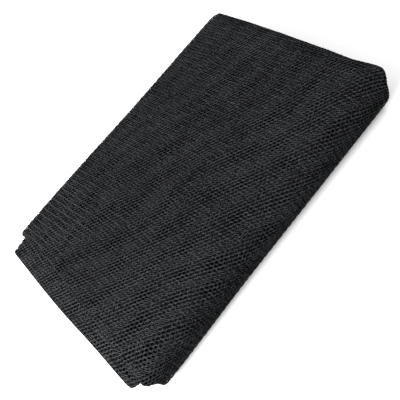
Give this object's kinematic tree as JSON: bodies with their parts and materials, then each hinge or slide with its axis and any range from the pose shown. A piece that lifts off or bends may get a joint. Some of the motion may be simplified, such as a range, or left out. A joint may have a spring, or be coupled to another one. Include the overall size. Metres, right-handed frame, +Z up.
{
  "type": "folded mosquito door screen",
  "caption": "Black hexagonal-mesh door screen, folded in half again and again into a flat, soft rectangular packet that lies on its broad side.",
  "frame": {"origin": "middle of the packet's footprint, on the surface that it lies on", "axes": "+X along the packet, +Y from its wide near fold to its far side with the two cut ends, +Z up through the layers"},
  "size_m": [0.1814, 0.1128, 0.027],
  "materials": {
    "net": "black warp-knitted polyester mesh with a soft sheen"
  },
  "bodies": {
    "root": {"folded_screen": "net"}
  },
  "joints": []
}
